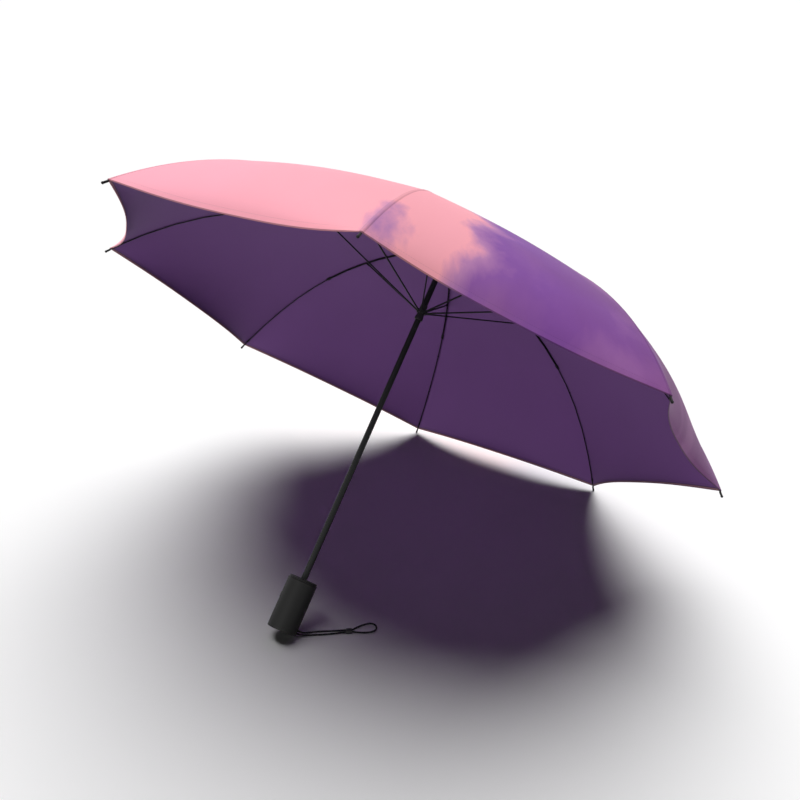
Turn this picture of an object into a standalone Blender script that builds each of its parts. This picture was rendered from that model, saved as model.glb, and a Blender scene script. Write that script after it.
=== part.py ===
"""Automatic umbrella, open and lying on its side, as it stands by itself on a floor.

The umbrella is built upright in its own axes, with the shaft along Z and the handle's base at
Z = 0. An empty then lays it down on the rim of its handle and on two of its rib tips.
World: metres, +Z up, the floor at Z = 0, the origin under the middle of the whole umbrella.
"""
from math import asin, atan, atan2, cos, hypot, pi, radians, sin, sqrt

import bmesh
import bpy
from mathutils import Matrix, Vector

# Gaps and overruns that all the pieces share
SEAT_GAP = 0.0003
OVERRUN = 0.0010

# Canopy: the curve of the ribs, and the cloth between them
RIB_COUNT = 8
RIM_RADIUS = 0.490
RIM_HEIGHT = 0.4165
CANOPY_DEPTH = 0.1936
FLAT_CURVE_SHARE = 0.53
CLOTH_THICKNESS = 0.0005
SEAM_GAP = 0.0003
HEM_DIP = 0.0263
HEM_SAG = 0.0013
HEM_POWER = 2.9
BILLOW = 0.0168
BILLOW_OUT_SHARE = 0.644
BILLOW_POWERS = (4.48, 0.436)
BILLOW_PEAK_SHARE = BILLOW_POWERS[0] / sum(BILLOW_POWERS)
HEM_ROW_SHARE = 0.972
BILLOW_EDGE_POWER = 2.15
PANEL_COLUMNS = 7
INNER_STATIONS = 7
OUTER_STATIONS = 5

# Ribs: a folded steel section from the crown to the knee, then a round rod to the tip
KNEE_RADIUS = 0.297
STRETCHER_REACH = 0.201
BLADE_WIDTH = 0.0018
BLADE_RISE = 0.0015
BLADE_FALL = 0.0012
BLADE_WEB = 0.0008
BLADE_GROOVE = 0.0008
GROOVE_MARGIN = 0.0060
EYE_RADIUS = 0.0015
PIN_RADIUS = 0.0006
LUG_DROP = 0.0034
ROD_RADIUS = 0.0009
FORK_LENGTH = 0.0080
FORK_DEPTH = 0.0024
EAR_THICKNESS = 0.0007
TIP_LENGTH = 0.0094
TIP_BALL_RADIUS = 0.0019
TIP_WALL = 0.00035
TIP_GRIP = 0.0045

# Stretchers
STRETCHER_WIDTH = 0.0016
STRETCHER_DEPTH = 0.0021
STRETCHER_EYE_RADIUS = 0.0012
STRETCHER_HOLE_RADIUS = 0.0005

# Shaft
SHAFT_RADIUS = 0.0044
SHAFT_WALL = 0.0007

# Crown: the notched disc that carries the ribs, its ring wire and the cap over it
CROWN_PIVOT_RADIUS = 0.0090
CROWN_WIRE_RADIUS = 0.00045
CROWN_RIM_RADIUS = 0.0118
CROWN_HUB_RADIUS = 0.0062
CROWN_HUB_LENGTH = 0.0150
CAP_RADIUS = 0.0088
CAP_HEIGHT = 0.0160
CAP_TIP_RADIUS = 0.0046
SHAFT_STUB = 0.0100

# Runner: the sleeve that slides on the shaft
RUNNER_DROP = 0.1070
RUNNER_PIVOT_RADIUS = 0.0069
RUNNER_FLANGE_RADIUS = 0.0078
RUNNER_FLANGE_DEPTH = 0.0052
RUNNER_WALL = 0.0007
RUNNER_ABOVE = 0.0110
RUNNER_BELOW = 0.0135
RUNNER_FOOT_RADIUS = 0.0064
RUNNER_PIN_DROP = 0.0085
RUNNER_PIN_RADIUS = 0.0006

# Where the folded frame comes to rest, as radii about the shaft
CLOSED_KNEE_RADIUS = 0.0320
CLOSED_TIP_RADIUS = 0.0380

# Opening spring, in the shaft above the runner's pin
SPRING_COIL_RADIUS = 0.0024
SPRING_WIRE_RADIUS = 0.0004
SPRING_TURNS = 14
SPRING_STEPS = 7
PLUG_DEPTH = 0.0060

# Handle
HANDLE_RADIUS = 0.0215
HANDLE_LENGTH = 0.0762
HANDLE_CHAMFER = 0.0005
BASE_CAP_RADIUS = 0.0165
BASE_CAP_DEPTH = 0.0040
COLLAR_RADIUS = 0.0206
COLLAR_DEPTH = 0.0028
SHAFT_SEAT = 0.0077

# Push button, on the side of the handle away from the slot's side, and its latch bar
BUTTON_HEIGHT = 0.0450
BUTTON_WIDTH = 0.0084
BUTTON_LENGTH = 0.0124
BUTTON_CORNER = 0.0040
BUTTON_DEPTH = 0.0040
BUTTON_PROUD = 0.0020
BUTTON_TRAVEL = 0.0015
BUTTON_POCKET_DEPTH = 0.0090
BUTTON_STEM_RADIUS = 0.0013
BUTTON_SPRING_RADIUS = 0.0023
BUTTON_WIRE_RADIUS = 0.0003
BUTTON_SPRING_TURNS = 4
LATCH_THICKNESS = 0.0008
LATCH_WIDTH = 0.0020
LATCH_OFFSET = 0.0024
LATCH_NOSE_LENGTH = 0.0035
LATCH_NOSE_SHY = 0.0001

# Cord anchor, slider bead and cord
ANCHOR_TURN = radians(45)
ANCHOR_HEIGHT = 0.0054
ANCHOR_RADIUS = 0.0038
ANCHOR_DEPTH = 0.0024
ANCHOR_SHY = 0.0004
ANCHOR_BORE_OFFSET = 0.0019
ANCHOR_BORE_DEPTH = 0.0014
CORD_RADIUS = 0.0012
BEAD_WIDTH = 0.0090
BEAD_HEIGHT = 0.0044
BEAD_LENGTH = 0.0080
BEAD_CORNER = 0.0019
BEAD_BORE_OFFSET = 0.0023
BEAD_CENTRE = (0.0691, 0.0494)
BEAD_HEADING = radians(39.6)

# The cord's route, from the anchor out, round its loop and back, measured from the point where
# the handle's rim meets the floor
CORD_ROUTE = [
    (0.01421, -0.00256, 0.00719),
    (0.01520, -0.00184, 0.00652),
    (0.01626, -0.00107, 0.00579),
    (0.01820, 0.00080, 0.00430),
    (0.02050, 0.00350, 0.00260),
    (0.02320, 0.00640, 0.00150),
    (0.02660, 0.00930, 0.00125),
    (0.03050, 0.01260, 0.00125),
    (0.03900, 0.01970, 0.00125),
    (0.04800, 0.02760, 0.00125),
    (0.05600, 0.03510, 0.00130),
    (0.06160, 0.04010, 0.00180),
    (0.06725, 0.04489, 0.00220),
    (0.07057, 0.04763, 0.00220),
    (0.07388, 0.05037, 0.00220),
    (0.07860, 0.05360, 0.00160),
    (0.08420, 0.05730, 0.00125),
    (0.09000, 0.06160, 0.00125),
    (0.09460, 0.06590, 0.00125),
    (0.09760, 0.07090, 0.00125),
    (0.09720, 0.07670, 0.00125),
    (0.09320, 0.08100, 0.00125),
    (0.08740, 0.08220, 0.00125),
    (0.08190, 0.07940, 0.00125),
    (0.07740, 0.07320, 0.00125),
    (0.07380, 0.06480, 0.00130),
    (0.07200, 0.05840, 0.00175),
    (0.07095, 0.05391, 0.00220),
    (0.06763, 0.05117, 0.00220),
    (0.06432, 0.04843, 0.00220),
    (0.05960, 0.04480, 0.00175),
    (0.05460, 0.04120, 0.00130),
    (0.04360, 0.03230, 0.00125),
    (0.03200, 0.02270, 0.00125),
    (0.02760, 0.01830, 0.00130),
    (0.02340, 0.01260, 0.00230),
    (0.02020, 0.00720, 0.00440),
    (0.01800, 0.00390, 0.00670),
    (0.01626, 0.00153, 0.00857),
    (0.01520, 0.00076, 0.00929),
    (0.01421, 0.00003, 0.00997),
]
CORD_POINTS = 64

HALF_STEP = pi / RIB_COUNT
BLADE_HALF = BLADE_WIDTH / 2
EAR_INSIDE = BLADE_HALF + SEAT_GAP
EAR_OUTSIDE = EAR_INSIDE + EAR_THICKNESS
PIN_HOLE_RADIUS = PIN_RADIUS + SEAT_GAP
SHAFT_CLEAR = SHAFT_RADIUS + SEAT_GAP
SHAFT_BORE = SHAFT_RADIUS - SHAFT_WALL
CROWN_HEIGHT = RIM_HEIGHT + CANOPY_DEPTH
CROWN_HALF = EYE_RADIUS + OVERRUN / 10
CLOTH_LIFT = CROWN_HALF + SEAT_GAP
TIP_SLEEVE_RADIUS = ROD_RADIUS + SEAT_GAP + TIP_WALL


def rib_drop(radius):
    """How far the ribs' curve has come down from the crown at a radius."""
    share = radius / RIM_RADIUS
    return CANOPY_DEPTH * (FLAT_CURVE_SHARE * share**2 + (1 - FLAT_CURVE_SHARE) * share**4)


def rib_slope(radius):
    """The angle of the ribs' curve below level at a radius."""
    share = radius / RIM_RADIUS
    rise = 2 * FLAT_CURVE_SHARE * share + 4 * (1 - FLAT_CURVE_SHARE) * share**3
    return atan(CANOPY_DEPTH / RIM_RADIUS * rise)


def rib_point(radius):
    """A point of the ribs' curve, as (radius, height)."""
    return Vector((radius, CROWN_HEIGHT - rib_drop(radius)))


# The stations that the ribs and the cloth share, so that they bend at the same places
INNER_RADII = [
    CROWN_PIVOT_RADIUS + (KNEE_RADIUS - CROWN_PIVOT_RADIUS) * step / INNER_STATIONS
    for step in range(INNER_STATIONS + 1)
]
OUTER_RADII = [
    KNEE_RADIUS + (RIM_RADIUS - KNEE_RADIUS) * step / OUTER_STATIONS
    for step in range(OUTER_STATIONS)
]
OUTER_RADII = sorted([*OUTER_RADII, RIM_RADIUS * HEM_ROW_SHARE, RIM_RADIUS])

# Pivots at rest, as (radius, height)
CROWN_PIVOT = rib_point(CROWN_PIVOT_RADIUS)
KNEE = rib_point(KNEE_RADIUS)
LUG_SLOPE = rib_slope(STRETCHER_REACH)
LUG_PIN = rib_point(STRETCHER_REACH) - LUG_DROP * Vector((sin(LUG_SLOPE), cos(LUG_SLOPE)))
RUNNER_PIVOT = Vector((RUNNER_PIVOT_RADIUS, CROWN_HEIGHT - RUNNER_DROP))
STRETCHER_LENGTH = (RUNNER_PIVOT - LUG_PIN).length
RIM_SLOPE = rib_slope(RIM_RADIUS)
TIP_AIM = Vector((cos(RIM_SLOPE), -sin(RIM_SLOPE)))
TIP_CENTRE = rib_point(RIM_RADIUS) + TIP_AIM * (TIP_LENGTH - TIP_BALL_RADIUS)


def turned_by(vector, angle):
    """A (radius, height) vector after the frame folds by an angle, which lowers its outer end."""
    return Vector((
        vector.x * cos(angle) + vector.y * sin(angle),
        vector.y * cos(angle) - vector.x * sin(angle),
    ))


def fold_to(pivot, start, radius):
    """The angle that folds an arm about its pivot until its end comes to a radius, low down."""
    arm = start - pivot
    return atan2(arm.y, arm.x) + pi / 2 - asin((radius - pivot.x) / arm.length)


RIB_FOLD = fold_to(CROWN_PIVOT, KNEE, CLOSED_KNEE_RADIUS)
CLOSED_KNEE = CROWN_PIVOT + turned_by(KNEE - CROWN_PIVOT, RIB_FOLD)
END_FOLD = fold_to(CLOSED_KNEE, CLOSED_KNEE + TIP_CENTRE - KNEE, CLOSED_TIP_RADIUS) - RIB_FOLD
CLOSED_LUG_PIN = CROWN_PIVOT + turned_by(LUG_PIN - CROWN_PIVOT, RIB_FOLD)
CLOSED_FALL = sqrt(STRETCHER_LENGTH**2 - (CLOSED_LUG_PIN.x - RUNNER_PIVOT.x) ** 2)
RUNNER_TRAVEL = RUNNER_PIVOT.y - (CLOSED_LUG_PIN.y - CLOSED_FALL)
OPEN_AIM = RUNNER_PIVOT - LUG_PIN
SHUT_AIM = Vector((RUNNER_PIVOT.x - CLOSED_LUG_PIN.x, -CLOSED_FALL))
STRETCHER_FOLD = atan2(OPEN_AIM.y, OPEN_AIM.x) - atan2(SHUT_AIM.y, SHUT_AIM.x) - RIB_FOLD

# How the open umbrella lies: on the rim of the handle's base and on the balls of two rib tips
REST_RADIUS = HANDLE_RADIUS - HANDLE_CHAMFER
TIP_SIDE = TIP_CENTRE.x * cos(HALF_STEP)
LIE_REACH = hypot(TIP_SIDE - REST_RADIUS, TIP_CENTRE.y)
LIE_ANGLE = atan2(TIP_SIDE - REST_RADIUS, TIP_CENTRE.y) + asin(TIP_BALL_RADIUS / LIE_REACH)
LIE_TILT = LIE_ANGLE - pi / 2
LIE_SHIFT = Vector((0, 0, -REST_RADIUS * sin(LIE_TILT)))
RIM_CONTACT = LIE_SHIFT + Vector((0, REST_RADIUS * cos(LIE_TILT), REST_RADIUS * sin(LIE_TILT)))


def clear_scene():
    for thing in list(bpy.data.objects):
        bpy.data.objects.remove(thing)


def material(name, colour, roughness, metallic=0.0):
    made = bpy.data.materials.new(name)
    made.use_nodes = True
    shader = made.node_tree.nodes["Principled BSDF"]
    shader.inputs["Base Color"].default_value = (*colour, 1.0)
    shader.inputs["Roughness"].default_value = roughness
    shader.inputs["Metallic"].default_value = metallic
    return made


def empty(name, place=(0, 0, 0), turn=(0, 0, 0), parent=None):
    made = bpy.data.objects.new(name, None)
    bpy.context.collection.objects.link(made)
    made.location = place
    made.rotation_euler = turn
    made.parent = parent
    return made


def put(name, data, finish=None, parent=None, place=(0, 0, 0)):
    """An object for a mesh or a curve, under its parent."""
    made = bpy.data.objects.new(name, data)
    bpy.context.collection.objects.link(made)
    made.parent = parent
    made.location = place
    if finish and not data.materials:
        data.materials.append(finish)
    return made


def finished(shape, sharp=radians(40)):
    """A mesh from a bmesh, with its faces out and its round sides shaded smooth."""
    bmesh.ops.recalc_face_normals(shape, faces=shape.faces)
    mesh = bpy.data.meshes.new("shape")
    shape.to_mesh(mesh)
    shape.free()
    mesh.shade_smooth()
    mesh.set_sharp_from_angle(angle=sharp)
    return mesh


def turned(profile, sides, height=0.0):
    """A profile of (radius, height) points turned about Z: closed, or ending on the axis."""
    shape = bmesh.new()
    points = [shape.verts.new((r, 0, z + height)) for r, z in profile]
    edges = [shape.edges.new(pair) for pair in zip(points, points[1:])]
    if profile[0][0] > 0:
        edges.append(shape.edges.new((points[-1], points[0])))
    bmesh.ops.spin(
        shape, geom=points + edges, axis=(0, 0, 1), cent=(0, 0, 0), angle=2 * pi, steps=sides,
    )
    bmesh.ops.remove_doubles(shape, verts=shape.verts, dist=SEAT_GAP / 100)
    return finished(shape)


def plate(outline, half_width):
    """An outline of (x, z) points extruded both ways along Y."""
    shape = bmesh.new()
    near = [shape.verts.new((x, -half_width, z)) for x, z in outline]
    face = shape.faces.new(near)
    grown = bmesh.ops.extrude_face_region(shape, geom=[face])
    moved = [v for v in grown["geom"] if isinstance(v, bmesh.types.BMVert)]
    bmesh.ops.translate(shape, vec=(0, 2 * half_width, 0), verts=moved)
    return finished(shape)


def rod(points, radius, sides=6):
    """A round rod along a path of (x, z) vectors."""
    shape = bmesh.new()
    rings = []
    for index, point in enumerate(points):
        before = points[max(index - 1, 0)]
        after = points[min(index + 1, len(points) - 1)]
        aim = (after - before).normalized()
        ring = []
        for step in range(sides):
            angle = 2 * pi * (step + 0.5) / sides
            up = radius * cos(angle)
            ring.append(shape.verts.new((
                point.x - aim.y * up, radius * sin(angle), point.y + aim.x * up,
            )))
        rings.append(ring)
    for ring, following in zip(rings, rings[1:]):
        for step in range(sides):
            after = (step + 1) % sides
            shape.faces.new((ring[step], ring[after], following[after], following[step]))
    shape.faces.new(rings[0])
    shape.faces.new(list(reversed(rings[-1])))
    return finished(shape)


def arc(centre, radius, start, end, steps):
    """Points (x, z) along an arc."""
    return [
        (
            centre[0] + radius * cos(start + (end - start) * step / steps),
            centre[1] + radius * sin(start + (end - start) * step / steps),
        )
        for step in range(steps + 1)
    ]


def disc(centre, radius, half_width, sides=10):
    """A round boss or a round cutter across a plate."""
    return plate(arc(centre, radius, 0, 2 * pi * (1 - 1 / sides), sides - 1), half_width)


def rounded_box(width, height, corner, half_depth, steps=4):
    """A box with round corners in X and Z."""
    x, z = width / 2 - corner, height / 2 - corner
    outline = []
    for turn, centre in enumerate(((x, z), (-x, z), (-x, -z), (x, -z))):
        start = turn * pi / 2
        outline += arc(centre, corner, start, start + pi / 2, steps)
    return plate(outline, half_depth)


def box(low, high):
    """A plain cutter between two corners."""
    outline = [(low[0], low[2]), (high[0], low[2]), (high[0], high[2]), (low[0], high[2])]
    mesh = plate(outline, (high[1] - low[1]) / 2)
    mesh.transform(Matrix.Translation((0, (high[1] + low[1]) / 2, 0)))
    return mesh


def round_bar(radius, start, end, sides=16):
    """A plain round bar along Z."""
    return turned([(0, start), (radius, start), (radius, end), (0, end)], sides)


def moved(mesh, matrix):
    mesh.transform(matrix)
    return mesh


def combined(body, steps):
    """A mesh after unions and cuts, each given as (operation, mesh)."""
    target = put("target", body)
    helpers = []
    for operation, other in steps:
        helper = put("helper", other)
        helper.hide_render = True
        helper.display_type = "WIRE"
        helpers.append(helper)
        modifier = target.modifiers.new(operation, "BOOLEAN")
        modifier.operation = operation
        modifier.solver = "EXACT"
        modifier.object = helper
    bpy.context.view_layer.update()
    graph = bpy.context.evaluated_depsgraph_get()
    mesh = bpy.data.meshes.new_from_object(target.evaluated_get(graph))
    for thing in [target, *helpers]:
        bpy.data.objects.remove(thing)
    mesh.materials.clear()
    shape = bmesh.new()
    shape.from_mesh(mesh)
    bmesh.ops.remove_doubles(shape, verts=shape.verts, dist=SEAT_GAP / 100)
    bmesh.ops.dissolve_degenerate(shape, edges=shape.edges, dist=SEAT_GAP / 100)
    bmesh.ops.triangulate(shape, faces=[f for f in shape.faces if len(f.verts) > 4])
    return finished(shape)


def band(radii, low, high, origin):
    """The outline of a strip along the ribs' curve, between two offsets square to it."""
    lower, upper = [], []
    for radius in radii:
        slope = rib_slope(radius)
        across = Vector((sin(slope), cos(slope)))
        centre = rib_point(radius) - origin
        lower.append(tuple(centre + across * low))
        upper.append(tuple(centre + across * high))
    return lower + list(reversed(upper))


def rib_blade():
    """A rib from its eye at the crown to its eye at the knee, with a lug under it for the stretcher.

    The section is an inverted channel: a groove runs up into it from below.
    """
    origin = CROWN_PIVOT
    body = plate(band(INNER_RADII, -BLADE_FALL, BLADE_RISE, origin), BLADE_HALF)
    lug = LUG_PIN - origin
    knee = KNEE - origin
    root = rib_point(STRETCHER_REACH) - origin
    side = Vector((cos(LUG_SLOPE), -sin(LUG_SLOPE))) * EYE_RADIUS
    web = [tuple(lug - side), tuple(lug + side), tuple(root + side * 2), tuple(root - side * 2)]
    groove = (-BLADE_FALL - OVERRUN, BLADE_RISE - BLADE_WEB, origin)
    first, last = CROWN_PIVOT_RADIUS + GROOVE_MARGIN, KNEE_RADIUS - GROOVE_MARGIN
    before, beyond = STRETCHER_REACH - GROOVE_MARGIN, STRETCHER_REACH + GROOVE_MARGIN
    inner = [first, *[r for r in INNER_RADII if first < r < before], before]
    outer = [beyond, *[r for r in INNER_RADII if beyond < r < last], last]
    wide = BLADE_HALF + OVERRUN
    hole = CROWN_WIRE_RADIUS + SEAT_GAP
    return combined(body, [
        ("UNION", disc((0, 0), EYE_RADIUS, BLADE_HALF)),
        ("UNION", disc(tuple(knee), EYE_RADIUS, BLADE_HALF)),
        ("UNION", plate(web, BLADE_HALF)),
        ("UNION", disc(tuple(lug), EYE_RADIUS, BLADE_HALF)),
        ("DIFFERENCE", plate(band(inner, *groove), BLADE_GROOVE / 2)),
        ("DIFFERENCE", plate(band(outer, *groove), BLADE_GROOVE / 2)),
        ("DIFFERENCE", disc((0, 0), hole, wide)),
        ("DIFFERENCE", disc(tuple(knee), PIN_HOLE_RADIUS, wide)),
        ("DIFFERENCE", disc(tuple(lug), PIN_HOLE_RADIUS, wide)),
    ])


def fork():
    """A fork along +X whose ears hold a pin at the origin, and the slot between them."""
    half = FORK_DEPTH / 2
    outline = arc((0, 0), EYE_RADIUS, pi / 2, 3 * pi / 2, 8) + [(FORK_LENGTH, -half), (FORK_LENGTH, half)]
    slot_end = EYE_RADIUS + SEAT_GAP
    slot_side = EYE_RADIUS + OVERRUN
    slot = box((-slot_side, -EAR_INSIDE, -slot_side), (slot_end, EAR_INSIDE, slot_side))
    return plate(outline, EAR_OUTSIDE), slot, disc((0, 0), PIN_RADIUS, EAR_OUTSIDE - OVERRUN / 10)


def rib_end():
    """The outer part of a rib: a fork at the knee, then a round rod to the tip."""
    knee_slope = rib_slope(KNEE_RADIUS)
    body, slot, pin = fork()
    lean = Matrix.Rotation(knee_slope, 4, "Y")
    for mesh in (body, slot, pin):
        mesh.transform(lean)
    start = KNEE_RADIUS + FORK_LENGTH * cos(knee_slope) / 2
    path = [rib_point(radius) - KNEE for radius in [start, *OUTER_RADII[1:]]]
    path.append(path[-1] + TIP_AIM * TIP_GRIP)
    return combined(body, [("UNION", rod(path, ROD_RADIUS)), ("DIFFERENCE", slot), ("UNION", pin)])


def rib_tip():
    """A moulded cap over the rod's end, with a ball for a nose, aimed along the rib at the rim."""
    bore = ROD_RADIUS + SEAT_GAP
    sleeve = TIP_SLEEVE_RADIUS
    depth = TIP_GRIP + SEAT_GAP
    ball = TIP_LENGTH - TIP_BALL_RADIUS
    meet = asin(sleeve / TIP_BALL_RADIUS) - pi / 2
    nose = arc((0, ball), TIP_BALL_RADIUS, meet, pi / 2, 5)
    profile = [(0, depth), (bore, depth), (bore, SEAT_GAP), (sleeve, SEAT_GAP), *nose[:-1], (0, TIP_LENGTH)]
    mesh = turned(profile, 10)
    place = rib_point(RIM_RADIUS) - KNEE
    aim = Matrix.Rotation(pi / 2 + RIM_SLOPE, 4, "Y")
    return moved(mesh, Matrix.Translation((place.x, 0, place.y)) @ aim)


def stretcher():
    """A stretcher from its fork on the rib's lug to its eye at the runner, in the same channel section."""
    body, slot, pin = fork()
    half = STRETCHER_DEPTH / 2
    wide = STRETCHER_WIDTH / 2
    start = FORK_LENGTH / 2
    blade = box((start, -wide, -half), (STRETCHER_LENGTH, wide, half))
    groove_from = FORK_LENGTH + OVERRUN
    groove_to = STRETCHER_LENGTH - GROOVE_MARGIN
    groove = box(
        (groove_from, -BLADE_GROOVE / 2, -half - OVERRUN), (groove_to, BLADE_GROOVE / 2, half - BLADE_WEB),
    )
    eye = (STRETCHER_LENGTH, 0)
    mesh = combined(body, [
        ("UNION", blade),
        ("UNION", disc(eye, STRETCHER_EYE_RADIUS, wide)),
        ("DIFFERENCE", groove),
        ("DIFFERENCE", slot),
        ("DIFFERENCE", disc(eye, STRETCHER_HOLE_RADIUS, wide + OVERRUN)),
        ("UNION", pin),
    ])
    return moved(mesh, Matrix.Rotation(-atan2(OPEN_AIM.y, OPEN_AIM.x), 4, "Y"))


def cloth_point(share, across):
    """A point under the cloth: share runs from crown to hem, across from one rib to the next."""
    radius = RIM_RADIUS * share
    slope = rib_slope(radius)
    bow = 1 - abs(across) ** HEM_POWER
    rise, fall = BILLOW_POWERS
    peak = BILLOW_PEAK_SHARE**rise * (1 - BILLOW_PEAK_SHARE) ** fall
    swell = BILLOW * share**rise * max(1 - share, 0) ** fall / peak * (1 - abs(across) ** BILLOW_EDGE_POWER)
    side = across * (HALF_STEP - asin(SEAM_GAP / 2 / radius))
    out = radius * cos(HALF_STEP) / cos(side) - HEM_DIP * bow * share**4
    out += swell * BILLOW_OUT_SHARE + CLOTH_LIFT * sin(slope)
    up = CROWN_HEIGHT - rib_drop(radius) + swell + CLOTH_LIFT * cos(slope) - HEM_SAG * bow * share**4
    return Vector((out * cos(side), out * sin(side), up))


def cloth_normal(share, across):
    """The way out of the cloth at a point."""
    step = 0.01
    low, high = max(share - step, step), min(share + step, 1)
    along = cloth_point(high, across) - cloth_point(low, across)
    left, right = max(across - step, -1), min(across + step, 1)
    sideways = cloth_point(share, right) - cloth_point(share, left)
    return along.cross(sideways).normalized()


def hem_loop(rows):
    """The points all round the edge of a grid, back to the first."""
    far_side = [line[-1] for line in rows]
    near_side = [line[0] for line in rows]
    return rows[0] + far_side[1:-1] + rows[-1][::-1] + near_side[-2::-1]


def canopy_panel():
    """One panel of cloth between two ribs: a thin closed shell that billows and has a hollow hem."""
    first = (SHAFT_CLEAR + OVERRUN) / RIM_RADIUS
    shape = bmesh.new()
    shares = [first, *[radius / RIM_RADIUS for radius in INNER_RADII[:-1] + OUTER_RADII]]
    sheets = []
    for lift in (0, CLOTH_THICKNESS):
        rows = []
        for share in shares:
            line = []
            for column in range(PANEL_COLUMNS + 1):
                across = 2 * column / PANEL_COLUMNS - 1
                point = cloth_point(share, across) + lift * cloth_normal(share, across)
                line.append(shape.verts.new(point))
            rows.append(line)
        sheets.append(rows)
    for rows in sheets:
        for line, following in zip(rows, rows[1:]):
            quads = zip(line, line[1:], following[1:], following)
            for quad in quads:
                shape.faces.new(quad)
    under, over = [hem_loop(rows) for rows in sheets]
    for quad in zip(under, under[1:], over[1:], over):
        shape.faces.new(quad)
    mesh = finished(shape)
    shift = Matrix.Translation((-CROWN_PIVOT.x, 0, -CROWN_PIVOT.y))
    return moved(mesh, shift @ Matrix.Rotation(HALF_STEP, 4, "Z"))


def spoke_cutters(width, start, end, low, high):
    """Slots that run out from the axis, one for each rib."""
    cutters = []
    for index in range(RIB_COUNT):
        slot = box((start, -width / 2, low), (end, width / 2, high))
        cutters.append(("DIFFERENCE", moved(slot, Matrix.Rotation(rib_azimuth(index), 4, "Z"))))
    return cutters


def rib_azimuth(index):
    return HALF_STEP + index * 2 * HALF_STEP


def crown_notch():
    """The notched disc at the top of the shaft, with a groove for the ring wire."""
    top = CROWN_HALF
    edge = OVERRUN / 2
    profile = [
        (SHAFT_CLEAR, -CROWN_HUB_LENGTH),
        (CROWN_HUB_RADIUS - edge, -CROWN_HUB_LENGTH),
        (CROWN_HUB_RADIUS, -CROWN_HUB_LENGTH + edge),
        (CROWN_HUB_RADIUS, -2 * top),
        (CROWN_RIM_RADIUS - 2 * edge, -top - edge),
        (CROWN_RIM_RADIUS, -top),
        (CROWN_RIM_RADIUS, top - edge),
        (CROWN_RIM_RADIUS - edge, top),
        (SHAFT_CLEAR, top),
    ]
    groove = CROWN_WIRE_RADIUS + SEAT_GAP
    inner = (CROWN_PIVOT_RADIUS - groove) / cos(HALF_STEP)
    outer = (CROWN_PIVOT_RADIUS + groove) / cos(HALF_STEP)
    channel = [(inner, -groove), (outer, -groove), (outer, top + OVERRUN), (inner, top + OVERRUN)]
    slot_from = CROWN_PIVOT_RADIUS - EYE_RADIUS - 2 * SEAT_GAP
    slot_width = BLADE_WIDTH + 2 * SEAT_GAP
    slots = spoke_cutters(slot_width, slot_from, CROWN_RIM_RADIUS + OVERRUN, -3 * top, top + OVERRUN)
    body = combined(turned(profile, 24), [("DIFFERENCE", turned(channel, RIB_COUNT)), *slots])
    return moved(body, Matrix.Translation((0, 0, CROWN_PIVOT.y)))


def crown_ring():
    """The wire that the ribs turn on, straight across each slot."""
    reach = CROWN_PIVOT_RADIUS / cos(HALF_STEP)
    section = [
        (reach + CROWN_WIRE_RADIUS * cos(pi * step / 4), CROWN_WIRE_RADIUS * sin(pi * step / 4))
        for step in range(8)
    ]
    return turned(section, RIB_COUNT, CROWN_PIVOT.y)


def top_cap():
    """The domed cap that holds the cloth down on the crown."""
    foot = CROWN_PIVOT.y + CLOTH_LIFT + CLOTH_THICKNESS + SEAT_GAP
    roof = CROWN_PIVOT.y + SHAFT_STUB + SEAT_GAP
    top = foot + CAP_HEIGHT
    skirt = CAP_HEIGHT * 0.3
    profile = [
        (0, roof),
        (SHAFT_CLEAR, roof),
        (SHAFT_CLEAR, foot),
        (CAP_RADIUS, foot),
        (CAP_RADIUS, foot + skirt / 3),
        (CAP_TIP_RADIUS + (CAP_RADIUS - CAP_TIP_RADIUS) * 0.45, foot + skirt),
        (CAP_TIP_RADIUS, foot + 2 * skirt),
    ]
    dome = top - CAP_TIP_RADIUS
    crest = arc((0, dome), CAP_TIP_RADIUS, 0, radians(60), 4)
    profile += [*crest, (0, crest[-1][1])]
    return turned(profile, 20)


def runner():
    """The sliding sleeve: a notched flange for the stretchers between two tapering necks."""
    neck = SHAFT_CLEAR + RUNNER_WALL
    half = RUNNER_FLANGE_DEPTH / 2
    edge = OVERRUN / 2
    profile = [
        (SHAFT_CLEAR, -RUNNER_BELOW),
        (RUNNER_FOOT_RADIUS - edge, -RUNNER_BELOW),
        (RUNNER_FOOT_RADIUS, -RUNNER_BELOW + edge),
        (RUNNER_FOOT_RADIUS, -RUNNER_BELOW * 0.7),
        (neck, -half * 2),
        (neck, -half - edge),
        (RUNNER_FLANGE_RADIUS, -half),
        (RUNNER_FLANGE_RADIUS, half),
        (neck, half + edge),
        (neck, RUNNER_ABOVE - edge),
        (neck - edge / 2, RUNNER_ABOVE),
        (SHAFT_CLEAR, RUNNER_ABOVE),
    ]
    slot_width = STRETCHER_WIDTH + 2 * SEAT_GAP
    deep = half + 2 * edge
    slots = spoke_cutters(slot_width, neck + edge / 5, RUNNER_FLANGE_RADIUS + OVERRUN, -deep, deep)
    hole = round_bar(RUNNER_PIN_RADIUS + SEAT_GAP, 0, RUNNER_FOOT_RADIUS + OVERRUN, 12)
    hole.transform(Matrix.Translation((0, 0, -RUNNER_PIN_DROP)) @ Matrix.Rotation(-pi / 2, 4, "X"))
    return combined(turned(profile, 24), [*slots, ("DIFFERENCE", hole)])


def runner_pin():
    """The pin that joins the runner to the opening spring through the shaft's slot."""
    bar = round_bar(RUNNER_PIN_RADIUS, -2 * RUNNER_PIN_RADIUS, SHAFT_CLEAR + RUNNER_WALL, 10)
    return moved(bar, Matrix.Translation((0, 0, -RUNNER_PIN_DROP)) @ Matrix.Rotation(-pi / 2, 4, "X"))


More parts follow.
